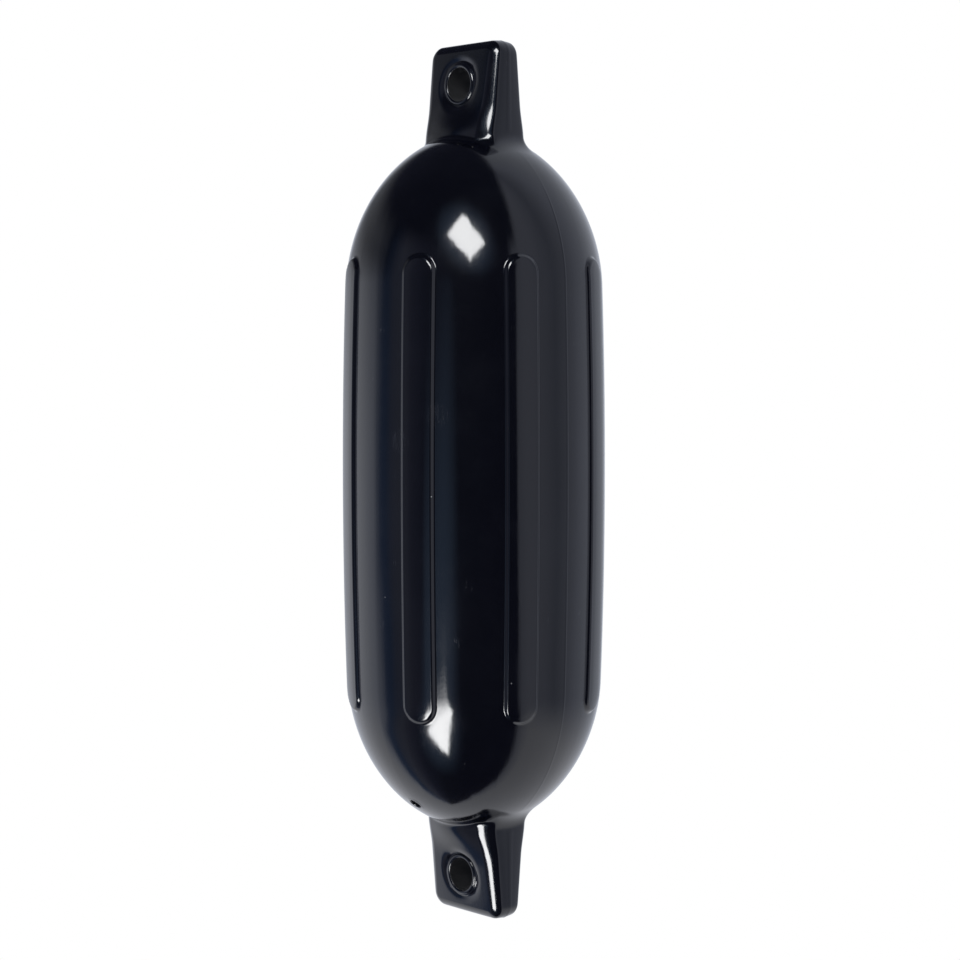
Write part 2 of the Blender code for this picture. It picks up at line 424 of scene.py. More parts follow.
def fill_face(right, left, bottom, top):
    """Rows of points across a face, drawn between its four borders."""
    rows = []
    for up, (edge, far) in enumerate(zip(right, left)):
        v = up / (len(right) - 1)
        row = []
        for across, (low, high) in enumerate(zip(bottom, top)):
            u = across / (len(bottom) - 1)
            point = (1 - v) * low + v * high + (1 - u) * edge + u * far
            point -= (1 - v) * ((1 - u) * bottom[0] + u * bottom[-1])
            point -= v * ((1 - u) * top[0] + u * top[-1])
            row.append(point)
        rows.append(row)
    return rows


def add_grid(rows, block=None):
    """Adds quads between rows of points, apart from a block (row, row, column, column)."""
    verts = [[skin_mesh.verts.new(point) for point in row] for row in rows]
    for up in range(len(rows) - 1):
        for across in range(len(rows[0]) - 1):
            if block and block[0] <= up < block[1] and block[2] <= across < block[3]:
                continue
            low, high = verts[up], verts[up + 1]
            skin_mesh.faces.new((low[across], low[across + 1], high[across + 1], high[across]))


def block_round(rows, inside):
    """The block of quads that holds every point for which inside is true."""
    held = [(up, across) for up, row in enumerate(rows) for across, point in enumerate(row) if inside(point)]
    ups = [up for up, _ in held]
    acrosses = [across for _, across in held]
    return min(ups) - 1, max(ups) + 1, min(acrosses) - 1, max(acrosses) + 1


def block_border(rows, block):
    low, high, first, last = block
    border = [rows[low][across] for across in range(first, last)]
    border += [rows[up][last] for up in range(low, high)]
    border += [rows[high][across] for across in range(last, first, -1)]
    border += [rows[up][first] for up in range(high, low, -1)]
    return border


def add_round_inset(border, place, circle_radius, loops, profile, lay):
    """Fills a block with loops that turn from its border into a circle, then with turned rings."""
    to_local = place.inverted()
    angles = [math.atan2(*(to_local @ point).yx) for point in border]
    rings = [border]
    for loop in range(1, loops + 1):
        share = loop / loops
        ring = []
        for point, turn in zip(border, angles):
            circle = place @ Vector((circle_radius * math.cos(turn), circle_radius * math.sin(turn), 0))
            ring.append(lay(point.lerp(circle, share)))
        rings.append(ring)
    for radius_at, height_at in profile:
        rings.append([place @ Vector((radius_at * math.cos(turn), radius_at * math.sin(turn), height_at))
                      for turn in angles])
    add_grid([ring + ring[:1] for ring in rings])


def lip_profile():
    """From the dish up over the lip and down the rope hole to its middle, as radius and depth."""
    roll_radius = (lip_radius - hole_radius) / 2
    roll_middle = (lip_radius + hole_radius) / 2
    roll_depth = lip_crest - roll_radius
    floor = face_depth(lip_foot_radius, hole_height)
    profile = [((lip_foot_radius + lip_radius) / 2, floor + lip_foot_lift)]
    profile.append((lip_radius + lip_edge_gap, floor + lip_edge_lift))
    for step in range(lip_roll_steps + 1):
        turn = math.pi * (lip_roll_start + (1 - lip_roll_start) * step / lip_roll_steps)
        out = roll_middle + roll_radius * math.cos(turn)
        profile.append((out, roll_depth + roll_radius * math.sin(turn)))
    for step in range(1, bore_steps + 1):
        profile.append((hole_radius, roll_depth * (1 - step / bore_steps)))
    return profile


# The valve's seat, measured from the dome's skin inwards
valve_rise = 0.0205
valve_swing = math.radians(-93.5)
seat_radius = 0.0037
seat_mouth_round = 0.001
seat_mouth_steps = 6
seat_depth = 0.0037
bore_radius = 0.0026
boss_depth = 0.008
pocket_radius = 0.0056
pocket_depth = 0.011
valve_block = 0.0068


def valve_place():
    """Where the valve sits on the lower dome, as seen with that dome turned up; Z points out."""
    turn = math.acos(1 - valve_rise / dome_height)
    rise = apex_height - valve_rise
    barrel_here = belly_radius - rise * rise / (2 * barrel_arc_radius)
    fall = dome_height * math.sin(turn)
    spread_out = barrel_here * math.cos(turn) + fall * math.sin(turn) * rise / barrel_arc_radius
    out = Vector((math.cos(valve_swing), math.sin(valve_swing), 0))
    normal = fall * out + Vector((0, 0, spread_out))
    matrix = normal.to_track_quat("Z", "Y").to_matrix().to_4x4()
    matrix.translation = out * barrel_here * math.sin(turn) + Vector((0, 0, rise))
    return matrix


def seat_profile():
    """The recess for the valve's head, the bore behind it and the room behind the boss."""
    mouth = seat_radius + seat_mouth_round
    profile = []
    for step in range(seat_mouth_steps + 1):
        turn = math.pi / 2 * (1 + step / seat_mouth_steps)
        profile.append((mouth + seat_mouth_round * math.cos(turn), seat_mouth_round * (math.sin(turn) - 1)))
    profile += [(seat_radius, -seat_depth), (bore_radius, -seat_depth), (bore_radius, -boss_depth)]
    profile += [(pocket_radius, -boss_depth), (pocket_radius, -pocket_depth), (0, -pocket_depth)]
    return profile


def dome_gap(x, y, z):
    """Rough distance of a point from the dome's skin, less than zero inside it."""
    barrel_here = belly_radius - seam_height - z * z / (2 * barrel_arc_radius)
    out = math.hypot(x, y) / barrel_here
    rise = (z - dome_start) / dome_height
    return (out * out + rise * rise - 1) / (2 * math.hypot(out / barrel_here, rise / dome_height))


def plate_gap(x, y, z):
    """Distance of a point from the eye's rounded plate, less than zero inside it."""
    edge = edge_round(z)
    plain = abs(y) / swell(x, z)
    crown = eye_side_crown * min(1, plain / (eye_half_thickness(z) - edge)) ** 2
    across = max(0, (abs(x) - eye_width / 2 + crown) / eye_edge_spread + edge)
    deep = plain - eye_half_thickness(z) + edge
    if deep <= 0:
        return across - edge
    return (across ** eye_edge_power + deep ** eye_edge_power) ** (1 / eye_edge_power) - edge


def fillet_at(x):
    """How far the root's fillet reaches: little under the faces, and more round the narrow sides."""
    share = (abs(x) / (eye_width / 2) - side_fillet_start) / (1 - side_fillet_start)
    return front_fillet + (side_fillet - front_fillet) * eased(share)


def joined_gap(x, y, z, shift):
    """Distance from the dome and the eye blended into one, with a fillet at the eye's root."""
    to_dome = dome_gap(x + shift, y, z)
    to_plate = plate_gap(x, y, z)
    reach = fillet_at(x)
    overlap = max(0, reach - abs(to_dome - to_plate))
    return min(to_dome, to_plate) - overlap * overlap / (4 * reach)


def round_root(verts, shift):
    """Moves the points near the eye's root out onto its fillet."""
    nudge = 0.00001
    near_skin = 0.0004
    for vert in verts:
        x, y, z = vert.co
        to_dome = dome_gap(x + shift, y, z)
        to_plate = plate_gap(x, y, z)
        if abs(min(to_dome, to_plate)) > near_skin or abs(to_dome - to_plate) > fillet_at(x):
            continue
        for _ in range(fillet_rounds):
            gap = joined_gap(x, y, z, shift)
            slope_x = (joined_gap(x + nudge, y, z, shift) - joined_gap(x - nudge, y, z, shift)) / (2 * nudge)
            slope_y = (joined_gap(x, y + nudge, z, shift) - joined_gap(x, y - nudge, z, shift)) / (2 * nudge)
            slope_z = (joined_gap(x, y, z + nudge, shift) - joined_gap(x, y, z - nudge, shift)) / (2 * nudge)
            squared = slope_x * slope_x + slope_y * slope_y + slope_z * slope_z
            x -= gap * slope_x / squared
            y -= gap * slope_y / squared
            z -= gap * slope_z / squared
        vert.co = (x, y, z)


def add_eye(up, shift, ring):
    """Adds an eye and the dome round its foot, as far as the shell's ring, all with the eye on top."""
    skin_mesh.verts.ensure_lookup_table()
    first_vert = len(skin_mesh.verts)
    lines = range(3 * edge_steps + 1)
    sides = {side: [side_line(index, side, shift) for index in lines] for side in (1, -1)}
    tops = [top_line(index) for index in lines]
    for side in (1, -1):
        add_grid(sides[side])
    add_grid(tops)

    creases = {}
    for direction, index in ((-1, 0), (1, 3 * edge_steps)):
        right = sides[1][index]
        left = sides[-1][index]
        bottom = []
        for step in range(face_steps + 1):
            x = right[0].x * (1 - 2 * step / face_steps)
            height = foot_height(shift, x, lambda at: face_depth(x, at))
            bottom.append(Vector((x, direction * face_depth(x, height), height)))
        bottom[0], bottom[-1] = right[0], left[0]
        creases[direction] = bottom
        rows = fill_face(right, left, bottom, tops[index])
        for row in rows:
            for point in row:
                point.y = direction * face_depth(point.x, point.z)

        def near_hole(point):
            return max(abs(point.x), abs(point.z - hole_height)) < hole_block

        def on_face(point):
            return Vector((point.x, direction * face_depth(point.x, point.z), point.z))

        block = block_round(rows, near_hole)
        place = Matrix(((1, 0, 0), (0, 0, direction), (0, 1, 0))).to_4x4()
        place.translation = Vector((0, 0, hole_height))
        add_grid(rows, block)
        border = block_border(rows, block)
        add_round_inset(border, place, lip_foot_radius, hole_loops, lip_profile(), on_face)

    # The foot as one loop from the +X side through the back face, the -X side and the front face
    middle = 3 * edge_steps // 2
    foot = [sides[1][index][0] for index in range(middle, 3 * edge_steps)]
    foot += creases[1][:-1]
    foot += [sides[-1][index][0] for index in range(3 * edge_steps, 0, -1)]
    foot += list(reversed(creases[-1]))[:-1]
    foot += [sides[1][index][0] for index in range(0, middle)]
    rows = []
    for row in range(dome_rows + 1):
        share = (row / dome_rows) ** dome_crowding
        turned_share = eased(share)
        points = []
        for index, (low, high) in enumerate(zip(foot, ring)):
            start = Vector((low.x + shift, low.y))
            turn = math.atan2(start.y, start.x) % math.tau
            end_turn = math.atan2(high.y, high.x) % math.tau
            if abs(end_turn - turn) > math.pi:
                turn += math.copysign(math.tau, end_turn - turn)
            turn += (end_turn - turn) * turned_share
            out = start.length + (math.hypot(high.x, high.y) - start.length) * share
            seam = seam_height * share if index in (0, len(ring) // 2) else 0
            rise = dome_rise(out - seam)
            points.append(Vector((out * math.cos(turn) - shift, out * math.sin(turn), rise)))
        rows.append(points)
    rows[0] = foot
    rows[-1] = [Vector((at.x - shift, at.y, at.z)) for at in ring]
    rows = [points + points[:1] for points in rows]
    if up:
        add_grid(rows)
    else:
        place = valve_place()
        place.translation.x -= shift

        def near_valve(point):
            local = place.inverted() @ point
            return max(abs(local.x), abs(local.y)) < valve_block

        def on_dome(point):
            return Vector((point.x, point.y, dome_rise(math.hypot(point.x + shift, point.y))))

        block = block_round(rows, near_valve)
        add_grid(rows, block)
        border = block_border(rows, block)
        mouth = seat_radius + 2 * seat_mouth_round
        add_round_inset(border, place, mouth, valve_loops, seat_profile(), on_dome)

    flip = 1 if up else -1
    skin_mesh.verts.ensure_lookup_table()
    round_root(skin_mesh.verts[first_vert:], shift)
    for vert in skin_mesh.verts[first_vert:]:
        vert.co = Vector((vert.co.x + shift, vert.co.y, middle_height + flip * vert.co.z))


shell_rings = [vert for vert in skin_mesh.verts if vert.is_boundary]
for up, shift in ((True, 0), (False, lower_eye_shift)):
    flip = 1 if up else -1
    border = [vert.co for vert in shell_rings if flip * (vert.co.z - middle_height) > 0]
    ring = sorted((Vector((at.x, at.y, flip * (at.z - middle_height))) for at in border),
                  key=lambda at: (math.atan2(at.y, at.x) + rounding_guard) % math.tau)
    add_eye(up, shift, ring)

eye_weld_reach = 0.000004
bmesh.ops.remove_doubles(skin_mesh, verts=skin_mesh.verts, dist=eye_weld_reach)
bmesh.ops.delete(skin_mesh, geom=[vert for vert in skin_mesh.verts if not vert.link_faces], context="VERTS")
bmesh.ops.recalc_face_normals(skin_mesh, faces=skin_mesh.faces)

# The whole skin is of one material, so its faces share the first slot
for face in skin_mesh.faces:
    face.material_index = 0
fender_data = bpy.data.meshes.new("fender_skin")
skin_mesh.to_mesh(fender_data)
skin_mesh.free()
fender_data.shade_smooth()
fender_data.materials.append(gloss_vinyl)
fender_skin = bpy.data.objects.new("fender_skin", fender_data)
bpy.context.scene.collection.objects.link(fender_skin)

# Skin finish
# The vinyl is glossy and near black with a blue tint. Handling has left it with fine scratches,
# a few specks of dust and a faint haze, and the mould with a slight orange peel and long streaks.

vinyl = gloss_vinyl.node_tree
vinyl.nodes.clear()


def vinyl_math(operation, *values):
    return calculate(vinyl, operation, *values)


def vector_math(tree, operation, *values):
    """Adds a Vector Math node and returns its result, a length or a vector."""
    node = tree.nodes.new("ShaderNodeVectorMath")
    node.operation = operation
    feed(tree, node.inputs, values)
    return node.outputs["Value" if operation in ("DISTANCE", "LENGTH") else "Vector"]


def stretched(length, turn=(0, 0, 0)):
    """Places on the skin, turned and then drawn out along Z where length is under 1."""
    node = add_node(vinyl, "ShaderNodeMapping", Vector=place_on_skin, Rotation=turn, Scale=(1, 1, length))
    return node.outputs["Vector"]


def noise(vector, scale, detail, roughness=0.5):
    node = add_node(vinyl, "ShaderNodeTexNoise", Vector=vector, Scale=scale, Detail=detail,
                    Roughness=roughness)
    return node.outputs["Fac"]


def remap(value, low, high, new_low, new_high):
    return soft_range(vinyl, value, low, high, new_low, new_high)


place_on_skin = add_node(vinyl, "ShaderNodeTexCoord").outputs["Object"]

# Fine scratches: thin stretches of noise, long along three directions, kept in few places and in
# two rubbed ones
rubbed_radius = 0.009
rubbed_places = [(0.0210, -0.0833, middle_height + 0.030), (0.0439, -0.0716, middle_height + 0.046)]
rubbed_share = 0.6
scratch_turns = [(0.5, 0.2, 0.3), (-0.7, 0.4, 1.2), (1.2, -0.5, 2.1)]
scratch_scale = 900.0
scratch_length = 0.035
scratch_breadth = 0.012
patch_scale = 38.0
patch_scale_growth = 9.0
patch_edge = (0.68, 0.76)
rubbed = None
for rubbed_place in rubbed_places:
    from_place = vector_math(vinyl, "DISTANCE", place_on_skin, rubbed_place)
    near = remap(from_place, 0.5 * rubbed_radius, rubbed_radius, 1.0, 0.0)
    rubbed = near if rubbed is None else vinyl_math("MAXIMUM", rubbed, near)
scratches = None
for number, turn in enumerate(scratch_turns):
    thread = noise(stretched(scratch_length, turn), scratch_scale, 0.0)
    off_thread = vinyl_math("ABSOLUTE", vinyl_math("SUBTRACT", thread, 0.5))
    thin = remap(off_thread, 0.0, scratch_breadth, 1.0, 0.0)
    patch = noise(stretched(1, turn), patch_scale + patch_scale_growth * number, 3.0)
    patch = remap(patch, *patch_edge, 0.0, 1.0)
    patch = vinyl_math("MAXIMUM", patch, vinyl_math("MULTIPLY", rubbed, rubbed_share))
    scratch = vinyl_math("MULTIPLY", thin, patch)
    scratches = scratch if scratches is None else vinyl_math("MAXIMUM", scratches, scratch)

# Dust: one speck in few of the cells
dust_scale = 120.0
dusty_from = 0.93
largest_speck = 0.045
cells = add_node(vinyl, "ShaderNodeTexVoronoi", Vector=place_on_skin, Scale=dust_scale)
in_cell = add_node(vinyl, "ShaderNodeSeparateColor", Color=cells.outputs["Color"])
speck_size = remap(in_cell.outputs["Red"], dusty_from, 1.0, 0.0, largest_speck)
specks = vinyl_math("LESS_THAN", cells.outputs["Distance"], speck_size)

# Haze, mould streaks, orange peel and slight waves: the streaks and the waves are drawn out
# along the fender
haze_scale = 26.0
streak_scale = 420.0
streak_length = 0.012
peel_scale = 520.0
wave_scale = 42.0
wave_length = 0.35
haze_edge = (0.35, 0.75)
haze = remap(noise(place_on_skin, haze_scale, 5.0, 0.6), *haze_edge, 0.0, 1.0)
streaks = noise(stretched(streak_length), streak_scale, 3.0, 0.6)
peel = noise(place_on_skin, peel_scale, 2.0)
waves = noise(stretched(wave_length), wave_scale, 1.0)

deep_black = (0.0009, 0.0012, 0.0034, 1)
worn_black = (0.0018, 0.0023, 0.0052, 1)
scratch_grey = (0.045, 0.048, 0.06, 1)
dust_grey = (0.30, 0.31, 0.33, 1)


def blend(tree, share, first, second):
    """Adds a Mix node for two colours, which are sockets or fixed colours, and returns its result."""
    node = tree.nodes.new("ShaderNodeMix")
    node.data_type = "RGBA"
    feed(tree, (node.inputs["Factor"], node.inputs["A"], node.inputs["B"]), (share, first, second))
    return node.outputs["Result"]


tint = blend(vinyl, haze, deep_black, worn_black)
tint = blend(vinyl, scratches, tint, scratch_grey)
tint = blend(vinyl, specks, tint, dust_grey)

clean_roughness = 0.075
hazy_roughness = 0.135
scratch_roughness = 0.25
speck_roughness = 0.4
roughness = remap(haze, 0.0, 1.0, clean_roughness, hazy_roughness)
roughness = vinyl_math("ADD", roughness, vinyl_math("MULTIPLY", scratches, scratch_roughness))
roughness = vinyl_math("ADD", roughness, vinyl_math("MULTIPLY", specks, speck_roughness))

# The rope holes are left matt by the pins that core them
matt_inside = hole_radius + 0.0001
glossy_outside = hole_radius + 0.0006
for hole_x, hole_z in ((0.0, middle_height + hole_height), (lower_eye_shift, middle_height - hole_height)):
    from_hole = vector_math(vinyl, "SUBTRACT", place_on_skin, (hole_x, 0, hole_z))
    away = vector_math(vinyl, "LENGTH", vector_math(vinyl, "MULTIPLY", from_hole, (1, 0, 1)))
    matt = remap(away, matt_inside, glossy_outside, 1.0, 0.0)
    roughness = vinyl_math("MAXIMUM", roughness, matt)

# Depths of the relief, in metres
peel_depth = 0.000013
streak_depth = 0.00001
wave_depth = 0.00012
scratch_depth = 0.00001
relief = vinyl_math("MULTIPLY", peel, peel_depth)
relief = vinyl_math("ADD", relief, vinyl_math("MULTIPLY", streaks, streak_depth))
relief = vinyl_math("ADD", relief, vinyl_math("MULTIPLY", waves, wave_depth))
relief = vinyl_math("SUBTRACT", relief, vinyl_math("MULTIPLY", scratches, scratch_depth))
surface = add_node(vinyl, "ShaderNodeBump", Height=relief, Strength=1.0, Distance=1.0)
vinyl_index = 1.5
coat_weight = 0.05
coat_roughness = 0.25
skin_shader = add_node(vinyl, "ShaderNodeBsdfPrincipled", Base_Color=tint, Roughness=roughness,
                       IOR=vinyl_index, Normal=surface.outputs["Normal"], Coat_Weight=coat_weight,
                       Coat_Roughness=coat_roughness)
add_node(vinyl, "ShaderNodeOutputMaterial", Surface=skin_shader.outputs["BSDF"])

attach(fender_skin, "root")
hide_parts("fender_body")

# Inflation valve
# A rubber spool is pushed into its seat in the lower dome. A needle goes in through the funnel
# in its head to blow the fender up, and the rubber closes behind it.

valve_inset = 0.0016
head_radius = 0.0034
head_depth = 0.0018
neck_radius = 0.0023
foot_radius = 0.005
foot_depth = 0.0018
needle_radius = 0.0006
funnel_radius = 0.0014
funnel_depth = 0.0012
foot_gap = 0.0003
valve_edge_round = 0.0004
valve_sides = 64
valve_corner_steps = 6
funnel_steps = 8
crease = math.radians(50)


def rounded_corner(corner_radius, height, across, upright):
    """A quarter round of a turned profile, from its upright side to its flat one or back."""
    middle = Vector((corner_radius - across * valve_edge_round, height - upright * valve_edge_round))
    turns = [math.pi / 2 * step / valve_corner_steps for step in range(valve_corner_steps + 1)]
    return [middle + valve_edge_round * Vector((across * math.cos(turn), upright * math.sin(turn)))
            for turn in turns]


head_top = -valve_inset
head_base = head_top - head_depth
foot_top = -boss_depth - foot_gap
foot_base = foot_top - foot_depth
spool = [Vector((needle_radius, head_top - funnel_depth))]
for step in range(1, funnel_steps + 1):
    share = step / funnel_steps
    flare = needle_radius + (funnel_radius - needle_radius) * share * share
    spool.append(Vector((flare, head_top - funnel_depth * (1 - share))))
spool += list(reversed(rounded_corner(head_radius, head_top, 1, 1)))
spool += rounded_corner(head_radius, head_base, 1, -1)
spool += [Vector((neck_radius, head_base)), Vector((neck_radius, foot_top))]
spool += list(reversed(rounded_corner(foot_radius, foot_top, 1, 1)))
spool += rounded_corner(foot_radius, foot_base, 1, -1)
spool += [Vector((needle_radius, foot_base))]
to_lower_end = Matrix.Translation((0, 0, middle_height)) @ Matrix.Diagonal((1, 1, -1, 1))
valve_mesh = bmesh.new()
rings = []
for at in spool:
    ring = []
    for side in range(valve_sides):
        turn = math.tau * side / valve_sides
        local = Vector((at.x * math.cos(turn), at.x * math.sin(turn), at.y))
        ring.append(valve_mesh.verts.new(to_lower_end @ valve_place() @ local))
    rings.append(ring)
for ring, next_ring in zip(rings, rings[1:] + rings[:1]):
    for side in range(valve_sides):
        after = (side + 1) % valve_sides
        valve_mesh.faces.new((ring[side], ring[after], next_ring[after], next_ring[side]))
bmesh.ops.recalc_face_normals(valve_mesh, faces=valve_mesh.faces)
valve_data = bpy.data.meshes.new("needle_valve")
valve_mesh.to_mesh(valve_data)
valve_mesh.free()
valve_data.shade_smooth()
valve_data.set_sharp_from_angle(angle=crease)
needle_valve = bpy.data.objects.new("needle_valve", valve_data)
bpy.context.scene.collection.objects.link(needle_valve)

# The rubber is smooth, with a fine grain in its colour, gloss and surface
grain_scale = 2400.0
grain_depth = 0.00002
grain_black = (0.008, 0.008, 0.009, 1)
grain_grey = (0.018, 0.018, 0.019, 1)
smooth_grain = 0.22
dull_grain = 0.42
valve_rubber = bpy.data.materials.new("valve_rubber")
valve_rubber.use_nodes = True
rubber = valve_rubber.node_tree
rubber_shader = rubber.nodes["Principled BSDF"]
rubber_place = add_node(rubber, "ShaderNodeTexCoord").outputs["Object"]
rubber_noise = add_node(rubber, "ShaderNodeTexNoise", Vector=rubber_place, Scale=grain_scale, Detail=4.0)
grain = rubber_noise.outputs["Fac"]
rubber_colour = add_node(rubber, "ShaderNodeValToRGB", Fac=grain)
rubber_colour.color_ramp.elements[0].color = grain_black
rubber_colour.color_ramp.elements[1].color = grain_grey
rubber_gloss = add_node(rubber, "ShaderNodeMapRange", Value=grain, To_Min=smooth_grain, To_Max=dull_grain)
rubber_bump = add_node(rubber, "ShaderNodeBump", Height=grain, Distance=grain_depth)
rubber.links.new(rubber_colour.outputs["Color"], rubber_shader.inputs["Base Color"])
rubber.links.new(rubber_gloss.outputs["Result"], rubber_shader.inputs["Roughness"])
rubber.links.new(rubber_bump.outputs["Normal"], rubber_shader.inputs["Normal"])
needle_valve.data.materials.append(valve_rubber)
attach(needle_valve, "root")
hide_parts("inflation_valve")

# Floor
# The fender hangs above a plain pale floor, which is wide enough to look endless. It takes the
# fender's soft shadow, and it whitens with the distance for the camera.

floor_drop = 0.32
floor_reach = 12.0
near_glow = 0.75
near_reach = 0.55
white_reach = 1.05
floor_grey = (0.92, 0.92, 0.92, 1)
floor_data = bpy.data.meshes.new("floor")
floor_height = cad_low.z - floor_drop
corners = [(-1, -1), (1, -1), (1, 1), (-1, 1)]
floor_places = [(x * floor_reach, y * floor_reach, floor_height) for x, y in corners]
floor_data.from_pydata(floor_places, [], [(0, 1, 2, 3)])
floor = bpy.data.objects.new("floor", floor_data)
bpy.context.scene.collection.objects.link(floor)
floor.visible_glossy = False
pale_floor = bpy.data.materials.new("pale_floor")
pale_floor.use_nodes = True
floor_tree = pale_floor.node_tree
floor_tree.nodes.clear()
floor_matt = add_node(floor_tree, "ShaderNodeBsdfDiffuse", Color=floor_grey)
floor_white = add_node(floor_tree, "ShaderNodeEmission", Strength=1.0)
to_lens = add_node(floor_tree, "ShaderNodeLightPath").outputs["Is Camera Ray"]
floor_place = add_node(floor_tree, "ShaderNodeTexCoord").outputs["Object"]
floor_away = vector_math(floor_tree, "LENGTH", vector_math(floor_tree, "MULTIPLY", floor_place, (1, 1, 0)))
floor_fade = soft_range(floor_tree, floor_away, near_reach, white_reach, near_glow, 1.0)
floor_share = calculate(floor_tree, "MULTIPLY", floor_fade, to_lens)
floor_mix = add_node(floor_tree, "ShaderNodeMixShader")
feed(floor_tree, floor_mix.inputs, (floor_share, floor_matt.outputs[0], floor_white.outputs[0]))
add_node(floor_tree, "ShaderNodeOutputMaterial", Surface=floor_mix.outputs[0])
floor_data.materials.append(pale_floor)

# Camera
# It looks almost level at the fender from its front right, as in the photograph.

camera_azimuth = math.radians(46.775)
camera_elevation = math.radians(3.764)
camera_distance = 1.3748
camera_side_step = 0.00366
camera_rise = 0.0018
camera_sensor = 36
camera_lens = 80.05
to_camera = Vector((math.sin(camera_azimuth) * math.cos(camera_elevation),
                    -math.cos(camera_azimuth) * math.cos(camera_elevation), math.sin(camera_elevation)))
to_right = Vector((math.cos(camera_azimuth), math.sin(camera_azimuth), 0))
target = Vector((0, 0, middle_height + camera_rise)) + camera_side_step * to_right
camera_data = bpy.data.cameras.new("camera")
camera_data.sensor_width = camera_sensor
camera_data.lens = camera_lens
camera = bpy.data.objects.new("camera", camera_data)
camera.location = target + camera_distance * to_camera
camera.rotation_euler = (-to_camera).to_track_quat("-Z", "Y").to_euler()
bpy.context.scene.collection.objects.link(camera)
bpy.context.scene.camera = camera

# Softboxes
# A square one hangs on its corner above the camera's left, and a smaller kite stands low on the
# left and throws its light up at the lower dome.

softbox_distance = 1.6
softbox_halo = 2.7
halo_blue = (0.42, 0.65, 1.0, 1)
core_edge = (0.82, 1.04)
halo_edge = (0.55, 1.8)


def towards(azimuth, elevation):
    """Unit vector for an azimuth and elevation in degrees, as the camera's own are given."""
    turn, tilt = math.radians(azimuth), math.radians(elevation)
    return Vector((math.sin(turn) * math.cos(tilt), -math.cos(turn) * math.cos(tilt), math.sin(tilt)))


def add_softbox(name, strength, halo_strength, halo_rise, upper_fade, corners_at):
    """A lit panel whose corners lie in the given directions from the fender's middle, and its halo.

    The corners run bottom, right, top, left. Their UV places make |u| + |v| 1 along the panel's edge.
    Between the two heights of upper_fade, where they are given, the panel fades out upwards.
    """
    middle = Vector((0, 0, middle_height))
    tips = [middle + softbox_distance * towards(*corner) for corner in corners_at]
    centre = sum(tips, Vector()) / 4
    outer = [centre + softbox_halo * (tip - centre) for tip in tips]
    data = bpy.data.meshes.new(name)
    fan = [(0, 1 + side, 1 + (side + 1) % 4) for side in range(4)]
    data.from_pydata([centre] + outer, [], fan)
    on_panel = [(0, 0), (0, -softbox_halo), (softbox_halo, 0), (0, softbox_halo), (-softbox_halo, 0)]
    layer = data.uv_layers.new(name="panel")
    for loop in data.loops:
        layer.data[loop.index].uv = on_panel[loop.vertex_index]
    panel = bpy.data.objects.new(name, data)
    bpy.context.scene.collection.objects.link(panel)
    panel.visible_camera = False
    panel.visible_shadow = False
    panel.visible_diffuse = False
    light = bpy.data.materials.new(name)
    light.use_nodes = True
    tree = light.node_tree
    tree.nodes.clear()
    place = add_node(tree, "ShaderNodeUVMap")
    place.uv_map = "panel"
    across, up, _ = add_node(tree, "ShaderNodeSeparateXYZ", Vector=place.outputs["UV"]).outputs
    gauge = calculate(tree, "ADD", calculate(tree, "ABSOLUTE", across), calculate(tree, "ABSOLUTE", up))
    core = soft_range(tree, gauge, *core_edge, strength, 0.0)
    if upper_fade:
        core = calculate(tree, "MULTIPLY", core, soft_range(tree, up, *upper_fade, 1.0, 0.0))
    # The halo reaches further up where halo_rise is less than 1, and the room shows through it
    upward = calculate(tree, "MINIMUM", up, calculate(tree, "MULTIPLY", up, halo_rise))
    squares = calculate(tree, "ADD", calculate(tree, "MULTIPLY", across, across),
                        calculate(tree, "MULTIPLY", upward, upward))
    halo = soft_range(tree, calculate(tree, "SQRT", squares), *halo_edge, halo_strength, 0.0)
    layers = (
        add_node(tree, "ShaderNodeEmission", Color=(1, 1, 1, 1), Strength=core),
        add_node(tree, "ShaderNodeEmission", Color=halo_blue, Strength=halo),
        add_node(tree, "ShaderNodeBsdfTransparent"),
    )
    shown = layers[0].outputs[0]
    for shader in layers[1:]:
        both = add_node(tree, "ShaderNodeAddShader")
        feed(tree, both.inputs, (shown, shader.outputs[0]))
        shown = both.outputs[0]
    add_node(tree, "ShaderNodeOutputMaterial", Surface=shown)
    data.materials.append(light)


high_corners = [(44.0, 21.4), (58.0, 33.6), (32.2, 52.6), (18.6, 38.0)]
low_corners = [(15.5, -53.8), (28.4, -25.0), (19.5, -9.0), (-1.0, -38.2)]
add_softbox("high_softbox", 19.0, 0.6, 1.0, None, high_corners)
add_softbox("low_softbox", 21.0, 0.5, 0.72, (0.0, 0.75), low_corners)

# Studio walls
# The camera sees plain white behind the fender. What the glossy skin mirrors is the room: nearly
# black on the camera's side, grey on the right, and paler up to white behind and on the left.

world = bpy.data.worlds.new("studio")
world.use_nodes = True
bpy.context.scene.world = world
room = world.node_tree
room.nodes.clear()


def room_math(operation, *values):
    return calculate(room, operation, *values)


def room_map(value, low, high, new_low, new_high):
    return soft_range(room, value, low, high, new_low, new_high)


room_aim = add_node(room, "ShaderNodeTexCoord").outputs["Generated"]
side_x, side_y, side_z = add_node(room, "ShaderNodeSeparateXYZ", Vector=room_aim).outputs

